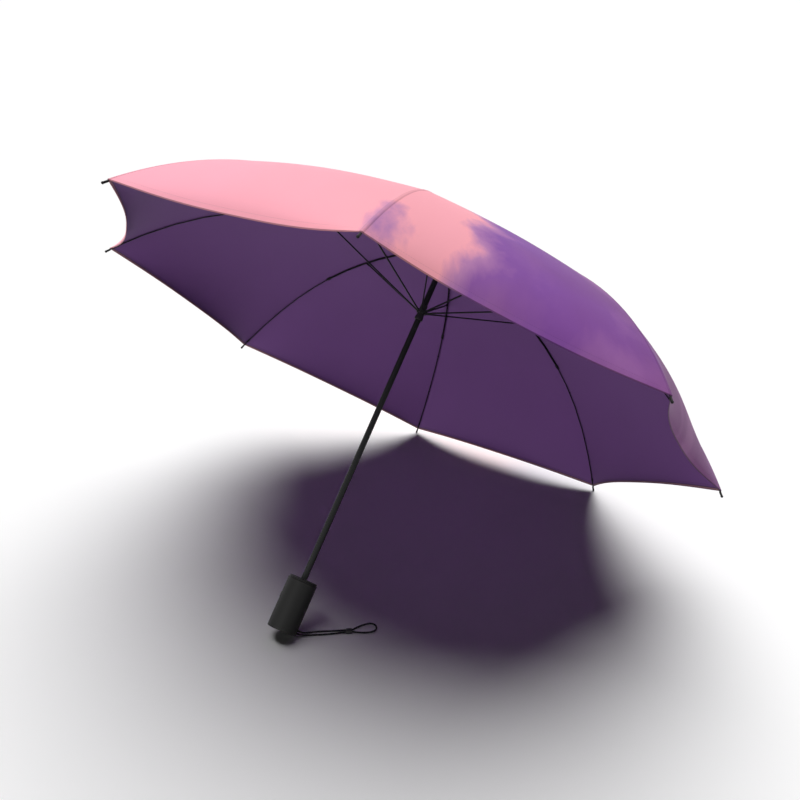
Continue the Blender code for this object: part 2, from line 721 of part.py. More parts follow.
def shaft_tube():
    """The shaft, with a long slot for the runner's pin and windows for the latch and the button."""
    low = SHAFT_SEAT + SEAT_GAP
    high = CROWN_PIVOT.y + SHAFT_STUB
    tube = turned([(SHAFT_BORE, low), (SHAFT_RADIUS, low), (SHAFT_RADIUS, high), (SHAFT_BORE, high)], 24)
    slot_half = RUNNER_PIN_RADIUS + SEAT_GAP
    top = RUNNER_PIVOT.y - RUNNER_PIN_DROP + slot_half
    slot = box((-slot_half, 0, top - RUNNER_TRAVEL - 2 * slot_half), (slot_half, SHAFT_RADIUS + OVERRUN, top))
    nose_top, nose_low = latch_nose()
    nose_half = LATCH_WIDTH / 2 + SEAT_GAP
    window = box(
        (-SHAFT_RADIUS - OVERRUN, -nose_half, nose_low - SEAT_GAP), (-LATCH_OFFSET, nose_half, nose_top + SEAT_GAP),
    )
    stem = round_bar(BUTTON_STEM_RADIUS + SEAT_GAP, LATCH_OFFSET, SHAFT_RADIUS + OVERRUN, 12)
    stem.transform(button_frame())
    return combined(tube, [("DIFFERENCE", slot), ("DIFFERENCE", window), ("DIFFERENCE", stem)])


def latch_nose():
    """Top and foot of the latch's nose, just over the runner when the frame is shut."""
    low = RUNNER_PIVOT.y - RUNNER_TRAVEL + RUNNER_ABOVE + SEAT_GAP
    return low + LATCH_NOSE_LENGTH, low


def latch_bar():
    """The flat bar in the shaft that the button moves, with its nose in the shaft's window."""
    top, low = latch_nose()
    inner = -LATCH_OFFSET
    outer = -LATCH_OFFSET - LATCH_THICKNESS
    nose = -SHAFT_RADIUS + LATCH_NOSE_SHY
    foot = BUTTON_HEIGHT - BUTTON_LENGTH / 2
    outline = [(inner, foot), (inner, top), (outer, top), (nose, low + LATCH_THICKNESS), (nose, low), (outer, low), (outer, foot)]
    return plate(outline, LATCH_WIDTH / 2)


def button_frame():
    """Turns +Z to the button's way out of the handle, at its height."""
    return Matrix.Translation((0, 0, BUTTON_HEIGHT)) @ Matrix.Rotation(-pi / 2, 4, "Y")


def on_button_axis(mesh, start, end):
    """A plate whose X is across the handle, laid square to the button's axis from start to end."""
    lay = Matrix.Rotation(pi / 2, 4, "Z")
    return moved(mesh, Matrix.Translation((-(start + end) / 2, 0, BUTTON_HEIGHT)) @ lay)


def push_button():
    """The button with its stem, which stops just short of the latch bar."""
    face = HANDLE_RADIUS + BUTTON_PROUD
    back = face - BUTTON_DEPTH
    cap = rounded_box(BUTTON_WIDTH, BUTTON_LENGTH, BUTTON_CORNER, BUTTON_DEPTH / 2)
    cap = on_button_axis(cap, back, face)
    stem = round_bar(BUTTON_STEM_RADIUS, LATCH_OFFSET + LATCH_THICKNESS + SEAT_GAP, face - OVERRUN, 12)
    return combined(cap, [("UNION", moved(stem, button_frame()))])


def anchor_frame(across=0.0):
    """Turns +Z to the cord anchor's way out of the grip, at its height and a little across."""
    place = Matrix.Translation((0, 0, ANCHOR_HEIGHT + across))
    return place @ Matrix.Rotation(-ANCHOR_TURN, 4, "Z") @ Matrix.Rotation(-pi / 2, 4, "X")


def handle_grip():
    """The grip: a plain cylinder, bored for the shaft, pocketed for the button and hollowed at its foot."""
    roof = BASE_CAP_DEPTH + SEAT_GAP
    high = HANDLE_LENGTH - COLLAR_DEPTH - SEAT_GAP
    profile = [
        (0, roof),
        (BASE_CAP_RADIUS + SEAT_GAP, roof),
        (BASE_CAP_RADIUS + SEAT_GAP, 0),
        (REST_RADIUS, 0),
        (HANDLE_RADIUS, HANDLE_CHAMFER),
        (HANDLE_RADIUS, high - HANDLE_CHAMFER),
        (HANDLE_RADIUS - HANDLE_CHAMFER, high),
        (SHAFT_CLEAR, high),
        (SHAFT_CLEAR, SHAFT_SEAT),
        (0, SHAFT_SEAT),
    ]
    mouth = HANDLE_RADIUS + OVERRUN
    floor = HANDLE_RADIUS - BUTTON_POCKET_DEPTH
    width = BUTTON_WIDTH + 2 * SEAT_GAP
    length = BUTTON_LENGTH + 2 * SEAT_GAP
    pocket = rounded_box(width, length, BUTTON_CORNER + SEAT_GAP, (mouth - floor) / 2)
    bore = round_bar(BUTTON_STEM_RADIUS + SEAT_GAP, SHAFT_CLEAR - OVERRUN / 2, floor + OVERRUN, 12)
    back = HANDLE_RADIUS - ANCHOR_SHY - ANCHOR_DEPTH - SEAT_GAP
    seat = round_bar(ANCHOR_RADIUS + SEAT_GAP, back, mouth, 24)
    return combined(turned(profile, 40), [
        ("DIFFERENCE", on_button_axis(pocket, floor, mouth)),
        ("DIFFERENCE", moved(bore, button_frame())),
        ("DIFFERENCE", moved(seat, anchor_frame())),
    ])


def handle_collar():
    """The stepped ring at the top of the handle."""
    low = HANDLE_LENGTH - COLLAR_DEPTH
    edge = COLLAR_DEPTH / 4
    return turned([
        (SHAFT_CLEAR, low),
        (COLLAR_RADIUS, low),
        (COLLAR_RADIUS, HANDLE_LENGTH - edge),
        (COLLAR_RADIUS - edge, HANDLE_LENGTH),
        (SHAFT_CLEAR + edge, HANDLE_LENGTH),
        (SHAFT_CLEAR, HANDLE_LENGTH - edge),
    ], 40)


def base_cap():
    """The disc let into the handle's foot, level with it."""
    edge = SEAT_GAP
    return turned([
        (0, 0),
        (BASE_CAP_RADIUS - edge, 0),
        (BASE_CAP_RADIUS, edge),
        (BASE_CAP_RADIUS, BASE_CAP_DEPTH),
        (0, BASE_CAP_DEPTH),
    ], 40)


def strap_anchor():
    """The round plug in the grip's side that the cord's two ends enter, each by its own bore."""
    face = HANDLE_RADIUS - ANCHOR_SHY
    back = face - ANCHOR_DEPTH
    edge = SEAT_GAP
    plug = turned([
        (0, back),
        (ANCHOR_RADIUS, back),
        (ANCHOR_RADIUS, face - edge),
        (ANCHOR_RADIUS - edge, face),
        (0, face),
    ], 24)
    cuts = []
    for side in (-1, 1):
        bore = round_bar(CORD_RADIUS + SEAT_GAP, face - ANCHOR_BORE_DEPTH, face + OVERRUN, 16)
        cuts.append(("DIFFERENCE", moved(bore, Matrix.Translation((0, side * ANCHOR_BORE_OFFSET, 0)))))
    return moved(combined(plug, cuts), anchor_frame())


def strap_slider():
    """The bead on the cord, with a bore for each strand."""
    body = rounded_box(BEAD_WIDTH, BEAD_HEIGHT, BEAD_CORNER, BEAD_LENGTH / 2)
    cuts = []
    for side in (-1, 1):
        bore = disc((side * BEAD_BORE_OFFSET, 0), CORD_RADIUS + SEAT_GAP, BEAD_LENGTH)
        cuts.append(("DIFFERENCE", bore))
    mesh = combined(body, cuts)
    turn = Matrix.Rotation(BEAD_HEADING - pi / 2, 4, "Z")
    return moved(mesh, Matrix.Translation((*BEAD_CENTRE, BEAD_HEIGHT / 2)) @ turn)


def smooth_route(points, count):
    """Points a steady way apart on a smooth curve through the route's own points."""
    route = [Vector(p) for p in points]
    fine = []
    for index in range(len(route) - 1):
        first = route[max(index - 1, 0)]
        start, end = route[index], route[index + 1]
        last = route[min(index + 2, len(route) - 1)]
        for step in range(12):
            t = step / 12
            fine.append(0.5 * (
                2 * start + (end - first) * t
                + (2 * first - 5 * start + 4 * end - last) * t**2
                + (3 * start - first - 3 * end + last) * t**3
            ))
    fine.append(route[-1])
    reach = [0.0]
    for before, after in zip(fine, fine[1:]):
        reach.append(reach[-1] + (after - before).length)
    even = []
    for index in range(count):
        wanted = reach[-1] * index / (count - 1)
        place = max(i for i in range(len(fine) - 1) if reach[i] <= wanted)
        share = (wanted - reach[place]) / (reach[place + 1] - reach[place])
        even.append(fine[place].lerp(fine[place + 1], min(share, 1)))
    return even


def tube_curve(points, radius, resolution):
    """A tube with filled ends along a list of points."""
    curve = bpy.data.curves.new("tube", "CURVE")
    curve.dimensions = "3D"
    curve.bevel_depth = radius
    curve.bevel_resolution = resolution
    curve.use_fill_caps = True
    spline = curve.splines.new("POLY")
    spline.points.add(len(points) - 1)
    for spot, point in zip(spline.points, points):
        spot.co = (*point, 1)
    return curve


def coil(radius, turns, steps, low, high):
    """Points along a coil about Z."""
    count = turns * steps
    return [
        (
            radius * cos(2 * pi * i / steps),
            radius * sin(2 * pi * i / steps),
            low + (high - low) * i / count,
        )
        for i in range(count + 1)
    ]


def build_handle(root):
    black = material("handle_black", (0.035, 0.036, 0.034), 0.55)
    put("handle_grip", handle_grip(), black, root)
    put("handle_collar", handle_collar(), material("collar_black", (0.028, 0.028, 0.028), 0.45), root)
    put("base_cap", base_cap(), material("base_black", (0.030, 0.030, 0.030), 0.55), root)
    put("strap_anchor", strap_anchor(), material("anchor_black", (0.022, 0.022, 0.022), 0.6), root)
    trigger = empty("button_axis", (0, 0, 0), (0, 0, 0), root)
    put("push_button", push_button(), material("button_black", (0.02, 0.02, 0.02), 0.4), trigger)
    put("latch_bar", latch_bar(), material("latch_steel", (0.45, 0.45, 0.46), 0.35, 1.0), trigger)
    face = HANDLE_RADIUS + BUTTON_PROUD - BUTTON_DEPTH
    ends = SEAT_GAP + BUTTON_WIRE_RADIUS
    low, high = HANDLE_RADIUS - BUTTON_POCKET_DEPTH + ends, face - ends
    points = coil(BUTTON_SPRING_RADIUS, BUTTON_SPRING_TURNS, SPRING_STEPS, low, high)
    turn = button_frame()
    wire = tube_curve([turn @ Vector(p) for p in points], BUTTON_WIRE_RADIUS, 0)
    put("button_spring", wire, material("small_spring_steel", (0.5, 0.5, 0.52), 0.3, 1.0), root)


def build_shaft(root):
    put("shaft_tube", shaft_tube(), material("shaft_black", (0.018, 0.018, 0.02), 0.32, 0.3), root)
    put("crown_notch", crown_notch(), material("crown_black", (0.02, 0.02, 0.02), 0.5), root)
    put("crown_ring", crown_ring(), material("wire_steel", (0.5, 0.5, 0.5), 0.35, 1.0), root)
    put("top_cap", top_cap(), material("cap_black", (0.02, 0.02, 0.02), 0.4), root)
    plug_top = CROWN_PIVOT.y + SHAFT_STUB
    plug = round_bar(SHAFT_BORE - SEAT_GAP, plug_top - PLUG_DEPTH, plug_top, 24)
    put("spring_plug", plug, material("plug_brass", (0.7, 0.55, 0.3), 0.4, 1.0), root)
    low = RUNNER_PIVOT.y - RUNNER_PIN_DROP + RUNNER_PIN_RADIUS + SEAT_GAP + SPRING_WIRE_RADIUS
    high = plug_top - PLUG_DEPTH - SEAT_GAP - SPRING_WIRE_RADIUS
    points = coil(SPRING_COIL_RADIUS, SPRING_TURNS, SPRING_STEPS, low, high)
    wire = tube_curve(points, SPRING_WIRE_RADIUS, 0)
    put("main_spring", wire, material("spring_steel", (0.5, 0.5, 0.52), 0.3, 1.0), root)
    slider = empty("runner_axis", (0, 0, RUNNER_PIVOT.y), (0, 0, 0), root)
    put("runner", runner(), material("runner_black", (0.02, 0.02, 0.02), 0.45), slider)
    put("runner_pin", runner_pin(), material("pin_steel", (0.5, 0.5, 0.5), 0.35, 1.0), slider)


def build_canopy(root):
    meshes = {
        "rib": (rib_blade(), material("rib_black", (0.02, 0.02, 0.022), 0.4, 0.6)),
        "rib_end": (rib_end(), material("rod_black", (0.025, 0.025, 0.028), 0.45)),
        "rib_tip": (rib_tip(), material("tip_black", (0.012, 0.012, 0.012), 0.35)),
        "stretcher": (stretcher(), material("stretcher_black", (0.02, 0.02, 0.022), 0.4, 0.6)),
        "canopy_panel": (canopy_panel(), material("cloth_purple", (0.075, 0.032, 0.11), 0.85)),
    }
    for index in range(RIB_COUNT):
        number = index + 1
        angle = rib_azimuth(index)
        place = (CROWN_PIVOT.x * cos(angle), CROWN_PIVOT.x * sin(angle), CROWN_PIVOT.y)
        hinge = empty(f"rib_hinge_{number}", place, (0, 0, angle), root)
        knee = empty(f"knee_hinge_{number}", (KNEE.x - CROWN_PIVOT.x, 0, KNEE.y - CROWN_PIVOT.y), (0, 0, 0), hinge)
        lug = LUG_PIN - CROWN_PIVOT
        joint = empty(f"stretcher_hinge_{number}", (lug.x, 0, lug.y), (0, 0, 0), hinge)
        parents = {"rib": hinge, "canopy_panel": hinge, "rib_end": knee, "rib_tip": knee, "stretcher": joint}
        for name, (mesh, finish) in meshes.items():
            put(f"{name}_{number}", mesh, finish, parents[name])


def settle(holders):
    """Move everything so that the origin is under the middle of its box."""
    bpy.context.view_layer.update()
    graph = bpy.context.evaluated_depsgraph_get()
    low, high = [], []
    for thing in bpy.data.objects:
        if thing.type == "EMPTY":
            continue
        mesh = thing.evaluated_get(graph).to_mesh()
        spots = [thing.matrix_world @ vertex.co for vertex in mesh.vertices]
        low.append([min(spot[axis] for spot in spots) for axis in range(2)])
        high.append([max(spot[axis] for spot in spots) for axis in range(2)])
        thing.evaluated_get(graph).to_mesh_clear()
    for axis in range(2):
        middle = (min(spot[axis] for spot in low) + max(spot[axis] for spot in high)) / 2
        for holder in holders:
            holder.location[axis] -= middle


def build_strap(floor):
    finish = material("strap_black", (0.012, 0.012, 0.012), 0.8)
    cord = tube_curve(smooth_route(CORD_ROUTE, CORD_POINTS), CORD_RADIUS, 2)
    put("strap_cord", cord, finish, floor)
    put("strap_slider", strap_slider(), material("bead_black", (0.015, 0.015, 0.015), 0.4), floor)


def build():
    clear_scene()
    root = empty("umbrella", LIE_SHIFT, (LIE_TILT, 0, 0))
    floor = empty("rim_contact", RIM_CONTACT)
    build_handle(root)
    build_shaft(root)
    build_canopy(root)
    build_strap(floor)
    settle([root, floor])
    bpy.context.view_layer.update()


build()
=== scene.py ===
import math

import bmesh
import bpy
from mathutils import Matrix, Vector


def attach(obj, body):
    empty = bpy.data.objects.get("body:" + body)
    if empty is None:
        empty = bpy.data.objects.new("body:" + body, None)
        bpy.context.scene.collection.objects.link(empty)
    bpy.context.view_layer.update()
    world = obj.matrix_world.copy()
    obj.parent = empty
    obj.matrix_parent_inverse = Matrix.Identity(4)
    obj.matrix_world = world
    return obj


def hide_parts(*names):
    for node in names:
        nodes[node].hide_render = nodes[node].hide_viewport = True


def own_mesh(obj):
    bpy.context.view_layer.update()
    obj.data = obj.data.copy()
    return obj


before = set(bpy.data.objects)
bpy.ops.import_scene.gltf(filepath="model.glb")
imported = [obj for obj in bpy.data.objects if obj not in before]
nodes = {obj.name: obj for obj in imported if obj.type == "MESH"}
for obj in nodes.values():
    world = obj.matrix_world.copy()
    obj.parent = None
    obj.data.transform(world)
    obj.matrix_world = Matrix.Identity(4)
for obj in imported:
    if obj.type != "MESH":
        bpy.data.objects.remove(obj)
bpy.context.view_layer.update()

ribNumbers = range(1, 9)

# The umbrella's own axes: the shaft along Z, the handle's base at 0. It lies tilted on the floor.
umbrella = {
    "tilt": math.radians(-43.100342413978126),
    "shift": (0.0, -0.284540109, 0.014348841),
    "firstRib": math.radians(22.5),
    "ribStep": math.radians(45.0),
}
umbrella["lie"] = Matrix.Translation(umbrella["shift"]) @ Matrix.Rotation(umbrella["tilt"], 4, "X")
halfStep = umbrella["ribStep"] / 2


def ribAngle(number):
    return umbrella["firstRib"] + (number - 1) * umbrella["ribStep"]


def ribFrame(number):  # X out along the rib, Y across it, Z up to the crown
    return umbrella["lie"] @ Matrix.Rotation(ribAngle(number), 4, "Z")


def addObject(name, data):
    made = bpy.data.objects.new(name, data)
    bpy.context.scene.collection.objects.link(made)
    return made


# Nodes that the finishes are made of
def newNode(tree, kind, settings=None, **inputs):  # an input is given by its name, or as i and its number
    node = tree.nodes.new(kind)
    for name, value in (settings or {}).items():
        setattr(node, name, value)
    for name, value in inputs.items():
        socket = node.inputs[int(name[1:])] if name[0] == "i" and name[1:].isdigit() else node.inputs[name]
        if isinstance(value, bpy.types.NodeSocket):
            tree.links.new(value, socket)
        else:
            socket.default_value = value
    return node


def maths(tree, operation, first, second=0.0, third=0.0):
    return newNode(tree, "ShaderNodeMath", {"operation": operation}, i0=first, i1=second, i2=third).outputs[0]


def fade(tree, value, start, end, first=0.0, last=1.0):  # from start to end it goes from first to last
    return newNode(tree, "ShaderNodeMapRange", i0=value, i1=start, i2=end, i3=first, i4=last).outputs[0]


def noise(tree, place, settings=None, **looks):
    return newNode(tree, "ShaderNodeTexNoise", settings, Vector=place, **looks).outputs["Fac"]


def blend(tree, share, first, second):
    mix = newNode(tree, "ShaderNodeMix", {"data_type": "RGBA"}, i0=share)
    for index, value in ((6, first), (7, second)):
        if isinstance(value, bpy.types.NodeSocket):
            tree.links.new(value, mix.inputs[index])
        else:
            mix.inputs[index].default_value = (*value, 1)
    return mix.outputs[2]


def darken(tree, colour, share):
    mix = newNode(tree, "ShaderNodeMix", {"data_type": "RGBA", "blend_type": "MULTIPLY"}, i0=1.0)
    tree.links.new(colour, mix.inputs[6])
    tree.links.new(share, mix.inputs[7])
    return mix.outputs[2]


def emboss(tree, shader, height, strength, distance):
    bump = newNode(tree, "ShaderNodeBump", Height=height, Strength=strength, Distance=distance)
    tree.links.new(bump.outputs["Normal"], shader.inputs["Normal"])


def objectPlace(tree):
    return newNode(tree, "ShaderNodeTexCoord").outputs["Object"]


def startFinish(name, colour, roughness, specular=0.5, metallic=0.0):
    made = bpy.data.materials.new(name)
    made.use_nodes = True
    tree = made.node_tree
    shader = tree.nodes["Principled BSDF"]
    shader.inputs["Base Color"].default_value = (*colour, 1)
    shader.inputs["Roughness"].default_value = roughness
    shader.inputs["Specular IOR Level"].default_value = specular
    shader.inputs["Metallic"].default_value = metallic
    return made, tree, shader


# Camera
cameraSettings = {
    "place": (0.74963, -1.06238, 0.89942),
    "turn": (63.7777, -0.0528, 35.1457),
    "lens": 43.362,
    "sensor": 36.0,
    "reach": 200.0,
}


def addCamera():
    data = bpy.data.cameras.new("camera")
    data.lens = cameraSettings["lens"]
    data.sensor_width = cameraSettings["sensor"]
    data.clip_end = cameraSettings["reach"]
    camera = addObject("camera", data)
    camera.location = cameraSettings["place"]
    camera.rotation_euler = [math.radians(angle) for angle in cameraSettings["turn"]]
    bpy.context.scene.camera = camera


addCamera()
print("camera placed")

# Wrist cord: its two ends leave the plug in the grip's side and meet in a loop on the floor
cordSettings = {
    "radius": 0.0012,
    "contact": (0.0, -0.269206787, 0.0),  # the handle's rim on the floor; the route is measured from it
    "points": 120,
    "stepsBetween": 12,
    "bevelSteps": 4,
    "colour": (0.005, 0.0045, 0.0055),
    "pitch": 0.0016,
    "route": [
        (0.01421, -0.00256, 0.00719), (0.01520, -0.00184, 0.00652), (0.01626, -0.00107, 0.00579),
        (0.01820, 0.00080, 0.00430), (0.02050, 0.00350, 0.00260), (0.02320, 0.00640, 0.00150),
        (0.02660, 0.00930, 0.00125), (0.03050, 0.01260, 0.00125), (0.03900, 0.01970, 0.00125),
        (0.04800, 0.02760, 0.00125), (0.05600, 0.03510, 0.00130), (0.06160, 0.04010, 0.00180),
        (0.06725, 0.04489, 0.00220), (0.07057, 0.04763, 0.00220), (0.07388, 0.05037, 0.00220),
        (0.07860, 0.05360, 0.00160), (0.08420, 0.05730, 0.00125), (0.09000, 0.06160, 0.00125),
        (0.09460, 0.06590, 0.00125), (0.09760, 0.07090, 0.00125), (0.09720, 0.07670, 0.00125),
        (0.09320, 0.08100, 0.00125), (0.08740, 0.08220, 0.00125), (0.08190, 0.07940, 0.00125),
        (0.07740, 0.07320, 0.00125), (0.07380, 0.06480, 0.00130), (0.07200, 0.05840, 0.00175),
        (0.07095, 0.05391, 0.00220), (0.06763, 0.05117, 0.00220), (0.06432, 0.04843, 0.00220),
        (0.05960, 0.04480, 0.00175), (0.05460, 0.04120, 0.00130), (0.04360, 0.03230, 0.00125),
        (0.03200, 0.02270, 0.00125), (0.02760, 0.01830, 0.00130), (0.02340, 0.01260, 0.00230),
        (0.02020, 0.00720, 0.00440), (0.01800, 0.00390, 0.00670), (0.01626, 0.00153, 0.00857),
        (0.01520, 0.00076, 0.00929), (0.01421, 0.00003, 0.00997),
    ],
}
braidSettings = {
    "roughness": 0.8,
    "specular": 0.1,
    "sheen": 0.04,
    "lighter": 1.8,
    "strength": 0.7,
    "height": 0.0003,
    "waveTurn": 20,  # the wave texture turns by 20 radians a metre at scale 1
}


def smoothRoute(points, count):
    route = [Vector(point) for point in points]
    steps = cordSettings["stepsBetween"]
    fine = []
    for index in range(len(route) - 1):
        before, start = route[max(index - 1, 0)], route[index]
        end, after = route[index + 1], route[min(index + 2, len(route) - 1)]
        for step in range(steps):
            t = step / steps
            fine.append(0.5 * (
                2 * start + (end - before) * t
                + (2 * before - 5 * start + 4 * end - after) * t ** 2
                + (3 * start - before - 3 * end + after) * t ** 3
            ))
    fine.append(route[-1])
    reach = [0.0]
    for spot, following in zip(fine, fine[1:]):
        reach.append(reach[-1] + (following - spot).length)
    even = []
    place = 0
    for index in range(count):
        wanted = reach[-1] * index / (count - 1)
        while place < len(fine) - 2 and reach[place + 1] < wanted:
            place += 1
        share = (wanted - reach[place]) / (reach[place + 1] - reach[place])
        even.append(fine[place].lerp(fine[place + 1], min(share, 1)))
    return even, reach[-1]


def braidedCord(name, colour, pitch):
    made, tree, shader = startFinish(name, colour, braidSettings["roughness"], braidSettings["specular"])
    place = objectPlace(tree)
    scale = 2 * math.pi / pitch / braidSettings["waveTurn"]
    waves = []
    for direction in ((1, 1, 1), (1, -1, -1)):
        turned = newNode(tree, "ShaderNodeVectorMath", {"operation": "MULTIPLY"}, i0=place, i1=direction).outputs[0]
        wave = newNode(tree, "ShaderNodeTexWave", {"bands_direction": "DIAGONAL"}, Vector=turned, Scale=scale)
        waves.append(wave.outputs["Fac"])
    woven = maths(tree, "MAXIMUM", *waves)
    lighter = tuple(channel * braidSettings["lighter"] for channel in colour)
    tree.links.new(blend(tree, woven, colour, lighter), shader.inputs["Base Color"])
    emboss(tree, shader, woven, braidSettings["strength"], braidSettings["height"])
    shader.inputs["Sheen Weight"].default_value = braidSettings["sheen"]
    return made


def wristCord():
    contact = Vector(cordSettings["contact"])
    points, length = smoothRoute(cordSettings["route"], cordSettings["points"])
    curve = bpy.data.curves.new("wristCord", "CURVE")
    curve.dimensions = "3D"
    curve.bevel_depth = cordSettings["radius"]
    curve.bevel_resolution = cordSettings["bevelSteps"]
    curve.use_fill_caps = True
    spline = curve.splines.new("POLY")
    spline.points.add(len(points) - 1)
    for spot, point in zip(spline.points, points):
        spot.co = (*(point + contact), 1)
    spline.use_smooth = True
    cord = addObject("wristCord", curve)
    curve.materials.append(braidedCord("braidedCord", cordSettings["colour"], cordSettings["pitch"]))
    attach(cord, "shaft")
    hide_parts("strap_cord")
    return length


print("wrist cord laid, metres:", round(wristCord(), 3))

# Canopy: one curved sheet, cut along the middles of its panels and at the ribs' knees so that it can fold.
# A share is a place along the rib, from 0 at the shaft to 1 at the hem; a turn is the angle from the rib.
canopy = {
    "rim": 0.490,  # from the shaft to a tip, seen from above
    "crown": 0.6101,  # height at which the ribs start
    "depth": 0.1936,  # how far the tips hang below that
    "flatShare": 0.53,  # the rest of the rib's curve steepens towards the tip
    "knee": 0.297,
    "hole": 0.0057,
    "lift": 0.0019,  # from the rib's middle to the lining
    "thickness": 0.0005,
    "hemDip": 0.0263,  # how far mid panel draws in between two tips
    "hemSag": 0.0013,
    "hemPower": 2.9,
    "billow": 0.0168,  # how far mid panel stands out, and where along the rib it does so most
    "billowOut": 0.644,
    "billowPowers": (4.48, 0.436),
    "billowEdge": 2.15,
    "seamHalf": 0.0022,
    "seamRise": 0.00035,
    "seamRaised": 0.9,  # the part of the seam's width that stands up
    "seamSharp": 1.2,  # and the part that keeps its faces' own normals
    "seamFrom": 0.03,
    "seamColumns": (0.0, 0.55, 0.8, 1.15),
    "seamWidest": 0.5,
    "hemBand": 0.0075,
    "hemRise": 0.00045,
    "hemRoll": 0.0006,
    "rollShares": (0.25, 0.5, 0.75),
    "rollAim": (0.99, 0.9995),
    "innerRows": 14,
    "outerRows": 26,
    "rowPower": 2.2,  # above 1, the rows draw closer towards the hem
    "columns": 11,
    "hemSteps": 8,
    "hemNear": 0.9,
    "normalStep": 0.002,
    "normalTurn": 0.004,
    "besideRib": 0.0001,
    "beforeHem": 0.999,
    "sharpEdge": 0.6,
    "planScale": 0.5,
    "edgeScale": 10,  # the finishes read distances from rib and hem in tenths of a metre
    "foldTo": {"inner": 0.15, "outer": 0.1},  # the share of its width that the shut cloth keeps
    "flatSpare": (1.02, 1.28),  # what the cut cloth has over the frame, in width and length
}


def ribCurve(share):  # how far the rib has dropped from the crown, and its slope there
    flat, depth = canopy["flatShare"], canopy["depth"]
    drop = depth * (flat * share ** 2 + (1 - flat) * share ** 4)
    rise = 2 * flat * share + 4 * (1 - flat) * share ** 3
    return drop, math.atan(depth / canopy["rim"] * rise)


def clothPoint(share, turn):
    off = max(halfStep - abs(turn), 0.0)
    across = off / halfStep
    drop, slope = ribCurve(share)
    rise, fall = canopy["billowPowers"]
    crest = rise / (rise + fall)
    peak = crest ** rise * (1 - crest) ** fall
    swell = canopy["billow"] * share ** rise * max(1 - share, 0) ** fall / peak
    swell *= 1 - across ** canopy["billowEdge"]
    bow = (1 - across ** canopy["hemPower"]) * share ** 4
    out = canopy["rim"] * share * math.cos(halfStep) / math.cos(off)
    out -= canopy["hemDip"] * bow
    out += swell * canopy["billowOut"] + canopy["lift"] * math.sin(slope)
    up = canopy["crown"] - drop + swell + canopy["lift"] * math.cos(slope) - canopy["hemSag"] * bow
    return Vector((out * math.cos(turn), out * math.sin(turn), up))


def clothNormal(share, turn):
    step, twist = canopy["normalStep"], canopy["normalTurn"]
    high = min(share + step, canopy["rollAim"][1])
    along = clothPoint(high, turn) - clothPoint(share - step, turn)
    side = 1 if turn >= 0 else -1
    inward = max(min(abs(turn) + twist, halfStep), twist)
    outward = max(abs(turn) - twist, 0.0)
    across = clothPoint(share, side * inward) - clothPoint(share, side * outward)
    return (along.cross(across) * side).normalized()


def hemDistance(share, turn):  # along the cloth; far from the hem a rough length will do
    if share < canopy["hemNear"]:
        return (1 - share) * canopy["rim"]
    steps = canopy["hemSteps"]
    spots = [clothPoint(1 - (1 - share) * (1 - step / steps) ** 2, turn) for step in range(steps + 1)]
    return sum((following - spot).length for spot, following in zip(spots, spots[1:]))


def rowShares(part):
    knee = canopy["knee"] / canopy["rim"]
    start = canopy["hole"] / canopy["rim"]
    if part == "inner":
        return [start + (knee - start) * step / canopy["innerRows"] for step in range(canopy["innerRows"] + 1)]
    shares = []
    for step in range(canopy["outerRows"] + 1):
        t = step / canopy["outerRows"]
        shares.append(knee + (1 - knee) * (1 - (1 - t) ** canopy["rowPower"]))
    return shares


def columnTurns(share):
    # close to the rib the columns keep the seam's width; then they spread evenly to mid panel
    edge = min(canopy["seamHalf"] / (canopy["rim"] * share), halfStep * canopy["seamWidest"])
    near = [edge * column for column in canopy["seamColumns"]]
    count = canopy["columns"]
    right = near + [near[-1] + (halfStep - near[-1]) * step / count for step in range(1, count + 1)]
    return [-turn for turn in reversed(right[1:])] + right


def clothRows(shape, part):
    # the lining's and the print's rows of points, and each point's share, turn and distances from rib and hem
    under, over, about = [], [], {}
    for share in rowShares(part):
        under.append([])
        over.append([])
        for turn in columnTurns(share):
            base, normal = clothPoint(share, turn), clothNormal(share, turn)
            arc, hem = abs(turn) * canopy["rim"] * share, hemDistance(share, turn)
            raised = arc < canopy["seamHalf"] * canopy["seamRaised"] and share > canopy["seamFrom"]
            seam = canopy["seamRise"] if raised else 0.0
            band = canopy["hemRise"] if hem < canopy["hemBand"] else 0.0
            low = shape.verts.new(base - normal * band)
            high = shape.verts.new(base + normal * (canopy["thickness"] + seam))
            about[low] = about[high] = (share, turn, arc, hem)
            under[-1].append(low)
            over[-1].append(high)
    return under, over, about


def coverRows(shape, rows, slot, flipped=False):
    for line, following in zip(rows, rows[1:]):
        for quad in zip(line, line[1:], following[1:], following):
            shape.faces.new(quad[::-1] if flipped else quad).material_index = slot


def rollHem(shape, under, over, about):  # round from the print to the lining
    rolls = [over]
    before, last = canopy["rollAim"]
    for bend in canopy["rollShares"]:
        ring = []
        for low, high in zip(under, over):
            share, turn, arc = about[low][:3]
            aim = (clothPoint(last, turn) - clothPoint(before, turn)).normalized()
            middle = high.co.lerp(low.co, bend)
            vert = shape.verts.new(middle + aim * canopy["hemRoll"] * math.sin(bend * math.pi))
            about[vert] = (share, turn, arc, -canopy["thickness"])
            ring.append(vert)
        rolls.append(ring)
    coverRows(shape, [*rolls, under], 0, True)


def closeEdges(shape, under, over, part):
    borders = [(under[0], over[0])]
    if part == "inner":
        borders.append((under[-1], over[-1]))
    for end in (0, -1):
        borders.append(([line[end] for line in under], [line[end] for line in over]))
    for border in borders:
        coverRows(shape, border, 1)


